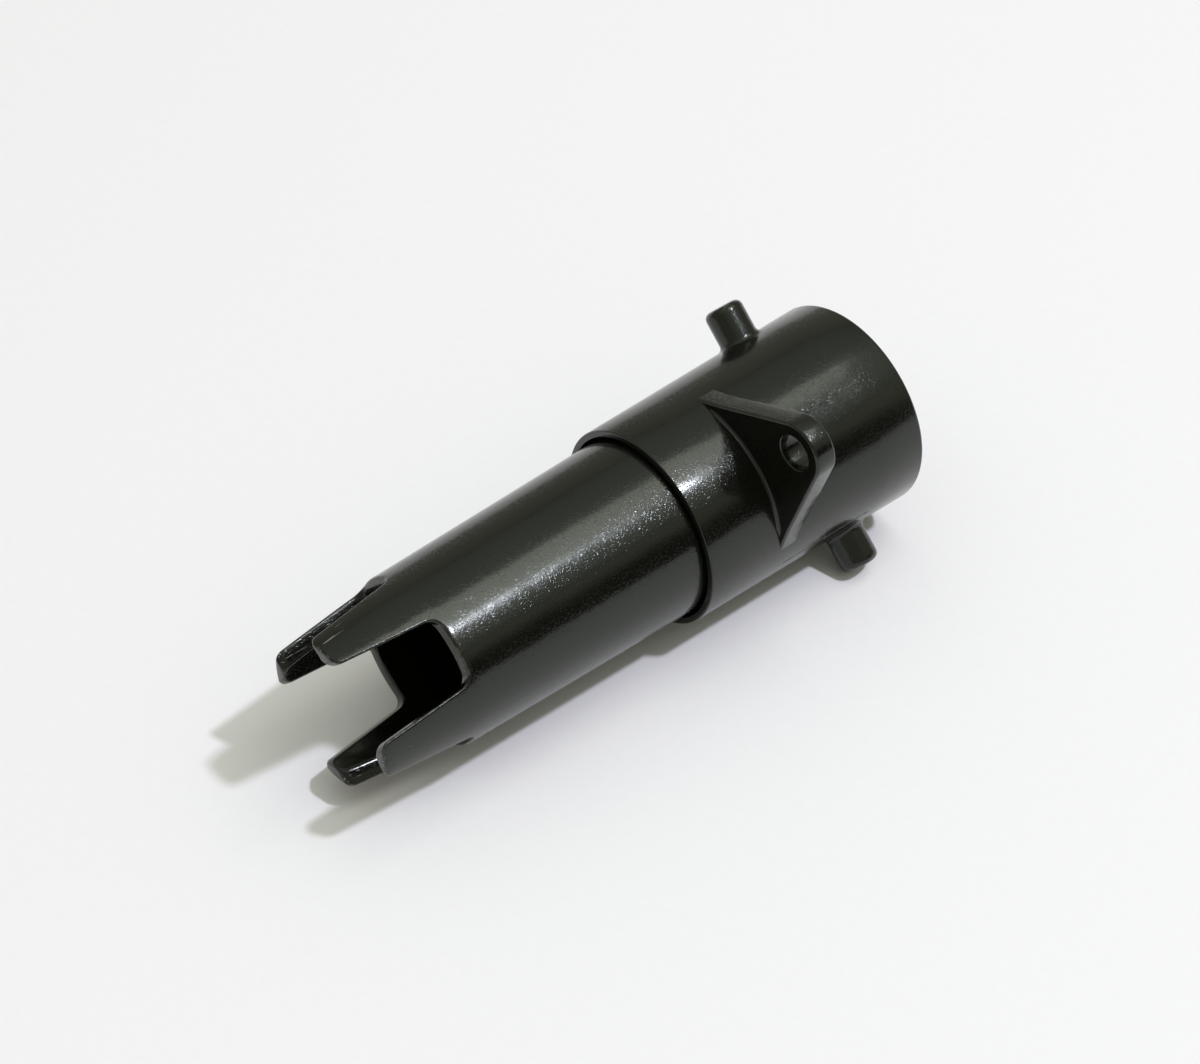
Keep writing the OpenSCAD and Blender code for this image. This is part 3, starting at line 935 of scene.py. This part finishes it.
def black_moulded_plastic():
    """Black nylon, injection moulded in a finely grained tool: glossy, with glints and rubbed edges."""
    material, tree = new_material("black_moulded_plastic")
    where = add(tree, "ShaderNodeTexCoord").outputs["Object"]
    grain = add(tree, "ShaderNodeTexNoise", {"Scale": per_mm(GRAIN_MM), "Detail": 1.0},
                {"Vector": where})
    bumps = add(tree, "ShaderNodeMapRange",
                {"interpolation_type": "SMOOTHSTEP", "From Min": 0.52, "From Max": 0.76},
                {"Value": grain.outputs["Fac"]})
    cloud = add(tree, "ShaderNodeTexNoise", {"Scale": per_mm(CLOUD_MM), "Detail": 3.0},
                {"Vector": where})
    # The rubbing value: wear on edges and pegs, and a painted highlight on the mould lines.
    rubbed_and_highlight = add(tree, "ShaderNodeAttribute", {"attribute_name": "wear_and_highlight"})
    patches = add(tree, "ShaderNodeTexNoise", {"Scale": per_mm(RUB_PATCH_MM), "Detail": 5.0},
                  {"Vector": where})
    rub_and_highlight = add(tree, "ShaderNodeMath", {"operation": "MULTIPLY"},
              {0: rubbed_and_highlight.outputs["Fac"], 1: patches.outputs["Fac"]})
    rub_and_highlight_amount = add(tree, "ShaderNodeMapRange", {"From Min": 0.42, "From Max": 0.7},
                     {"Value": rub_and_highlight.outputs[0]})
    base = add(tree, "ShaderNodeMix", {"data_type": "RGBA", 6: paint("#0a0a07"), 7: paint("#11110c")},
               {0: cloud.outputs["Fac"]})
    # The rubbed grey: wear on edges and pegs, and on the mould lines a painted highlight.
    rubbed_and_highlight_colour = add(tree, "ShaderNodeMix", {"data_type": "RGBA", 7: paint("#57524a")},
                        {0: rub_and_highlight_amount.outputs[0], 6: base.outputs[2]})
    slanted = add(tree, "ShaderNodeMapping", {"Rotation": (0.5, 0.9, 0.4), "Scale": (1.0, 14.0, 14.0)},
                  {"Vector": where})
    hairs = add(tree, "ShaderNodeTexNoise", {"Scale": per_mm(HAIR_MM), "Detail": 1.0, "Distortion": 0.5},
                {"Vector": slanted.outputs[0]})
    thin = add(tree, "ShaderNodeMapRange", {"From Min": 0.68, "From Max": 0.72},
               {"Value": hairs.outputs["Fac"]})
    along = add(tree, "ShaderNodeSeparateXYZ", {}, {"Vector": where})
    near_tip = add(tree, "ShaderNodeMapRange", {"From Min": tip_x - scuffed_length, "From Max": tip_x},
                   {"Value": along.outputs["X"]})
    scratch = add(tree, "ShaderNodeMath", {"operation": "MULTIPLY"},
                  {0: thin.outputs[0], 1: near_tip.outputs[0]})
    colour = add(tree, "ShaderNodeMix", {"data_type": "RGBA", 7: paint("#8d8a84")},
                 {0: scratch.outputs[0], 6: rubbed_and_highlight_colour.outputs[2]})
    rough = add(tree, "ShaderNodeMapRange", {"To Min": 0.12, "To Max": 0.17},
                {"Value": cloud.outputs["Fac"]})
    rougher = add(tree, "ShaderNodeMath", {"operation": "MULTIPLY_ADD", 1: 0.2},
                  {0: rub_and_highlight_amount.outputs[0], 2: rough.outputs[0]})
    sink = add(tree, "ShaderNodeTexNoise", {"Scale": per_mm(WAVE_MM), "Detail": 2.0},
               {"Vector": where})
    waves = add(tree, "ShaderNodeBump", {"Strength": 1.0, "Distance": WAVE_DEPTH_MM * MM},
                {"Height": sink.outputs["Fac"]})
    bump = add(tree, "ShaderNodeBump", {"Strength": 1.0, "Distance": GRAIN_DEPTH_MM * MM},
               {"Height": bumps.outputs[0], "Normal": waves.outputs[0]})
    # The reflections on this dye have a faint green cast.
    shader = add(tree, "ShaderNodeBsdfPrincipled",
                 {"IOR": 1.52, "Metallic": 0.0, "Specular Tint": (0.93, 1.0, 0.91, 1.0)},
                 {"Base Color": colour.outputs[2], "Roughness": rougher.outputs[0],
                  "Normal": bump.outputs[0]})
    finish_material(tree, shader)
    return material


# %% [markdown]
# The inner pieces are turned metal, moulded plastic and rubber. They differ in colour, in how rough they
# are, and in the direction of their marks: a lathe leaves rings round the axis, a mould leaves grain.

# %% Metals, rubber and the other plastics


def worked_surface(name, colours, roughness, metallic, mark_mm, stretch, depth_mm):
    """A surface with marks mark_mm wide, stretched round the axis, and larger soft clouds."""
    material, tree = new_material(name)
    where = add(tree, "ShaderNodeTexCoord").outputs["Object"]
    squeezed = add(tree, "ShaderNodeMapping", {"Scale": (1.0, 1 / stretch, 1 / stretch)},
                   {"Vector": where})
    marks = add(tree, "ShaderNodeTexNoise", {"Scale": per_mm(mark_mm), "Detail": 4.0},
                {"Vector": squeezed.outputs[0]})
    cloud = add(tree, "ShaderNodeTexNoise", {"Scale": per_mm(2.5), "Detail": 4.0}, {"Vector": where})
    mottled = add(tree, "ShaderNodeMath", {"operation": "MULTIPLY"},
                  {0: marks.outputs["Fac"], 1: cloud.outputs["Fac"]})
    share = add(tree, "ShaderNodeMapRange", {"From Min": 0.12, "From Max": 0.4},
                {"Value": mottled.outputs[0]})
    colour = add(tree, "ShaderNodeMix", {"data_type": "RGBA", 6: paint(colours[0]), 7: paint(colours[1])},
                 {0: share.outputs[0]})
    rough = add(tree, "ShaderNodeMapRange", {"To Min": roughness[0], "To Max": roughness[1]},
                {"Value": cloud.outputs["Fac"]})
    bump = add(tree, "ShaderNodeBump", {"Strength": 0.6, "Distance": depth_mm * MM},
               {"Height": marks.outputs["Fac"]})
    shader = add(tree, "ShaderNodeBsdfPrincipled", {"Metallic": metallic},
                 {"Base Color": colour.outputs[2], "Roughness": rough.outputs[0],
                  "Normal": bump.outputs[0]})
    finish_material(tree, shader)
    return material


# %% Give the pieces their materials
finishes = {
    # Injection-moulded nylon with a coarse spark-eroded grain: dull dark grey, no glints.
    "dark_cap_plastic": worked_surface(
        "moulded_grey_nylon", ("#242423", "#30302e"), roughness=(0.45, 0.6), metallic=0.0,
        mark_mm=0.3, stretch=1, depth_mm=0.02),
    # Acetal turned from bar: milky white with fine rings.
    "white_acetal": worked_surface(
        "turned_white_acetal", ("#d8d4c8", "#e8e5da"), roughness=(0.3, 0.42), metallic=0.0,
        mark_mm=0.12, stretch=40, depth_mm=0.01),
    # Sintered bronze, turned: warm brown-gold with rings.
    "bronze": worked_surface(
        "turned_bronze", ("#8a6a3c", "#b08a52"), roughness=(0.28, 0.42), metallic=1.0,
        mark_mm=0.1, stretch=40, depth_mm=0.008),
    # Ground steel rod: bright, with hair-fine lines round it.
    "steel": worked_surface(
        "ground_steel", ("#b9b8b4", "#cfcecb"), roughness=(0.18, 0.28), metallic=1.0,
        mark_mm=0.05, stretch=60, depth_mm=0.003),
    # Zinc plate on pressed steel: bluish, with a faint cloudy bloom.
    "zinc_steel": worked_surface(
        "zinc_plated_steel", ("#a9adb2", "#c2c6ca"), roughness=(0.3, 0.45), metallic=1.0,
        mark_mm=0.25, stretch=2, depth_mm=0.006),
    # Drawn spring wire, oil-tempered: darker grey steel with draw marks.
    "spring_steel": worked_surface(
        "drawn_spring_wire", ("#77756f", "#93918b"), roughness=(0.25, 0.38), metallic=1.0,
        mark_mm=0.08, stretch=20, depth_mm=0.004),
    # Moulded rubber: soft dull black with a dusty bloom.
    "black_rubber": worked_surface(
        "moulded_black_rubber", ("#161615", "#232321"), roughness=(0.6, 0.78), metallic=0.0,
        mark_mm=0.2, stretch=1, depth_mm=0.015),
    "black_moulding": black_moulded_plastic(),
}


def paint_piece(piece, slot_name):
    """Gives a piece one finish in place of what it had."""
    piece.data.materials.clear()
    piece.data.materials.append(finishes[slot_name])


for part in frame["record"]["subparts"]:
    paint_piece(nodes[part["node"]], part["material_slot"])
black_shells = (nose_barrel, collar_sleeve, upper_peg, lower_peg, ear, front_foot, rear_foot,
                ear_line, peg_line)
for piece in black_shells:
    paint_piece(piece, "black_moulding")
paint_piece(thumb_pad, "black_rubber")
paint_piece(return_spring, "spring_steel")

# %% [markdown]
# The board is white laminate: a hard, dull, almost even white. Its texture is fine and very faint, so it
# gives the eye nothing to rest on and keeps the pump's shadow clean.

# %% Board material


def white_laminate():
    """White laminate: almost even white with a very fine soft texture."""
    material, tree = new_material("white_laminate")
    where = add(tree, "ShaderNodeTexCoord").outputs["Object"]
    fine = add(tree, "ShaderNodeTexNoise", {"Scale": per_mm(1.5), "Detail": 2.0}, {"Vector": where})
    colour = add(tree, "ShaderNodeMix", {"data_type": "RGBA", 6: paint("#f1f1f0"), 7: paint("#f4f4f3")},
                 {0: fine.outputs["Fac"]})
    shader = add(tree, "ShaderNodeBsdfPrincipled", {"Roughness": 0.6, "IOR": 1.45},
                 {"Base Color": colour.outputs[2]})
    finish_material(tree, shader)
    return material


floor.data.materials.append(white_laminate())
print("the board has", len(floor.data.materials), "material")
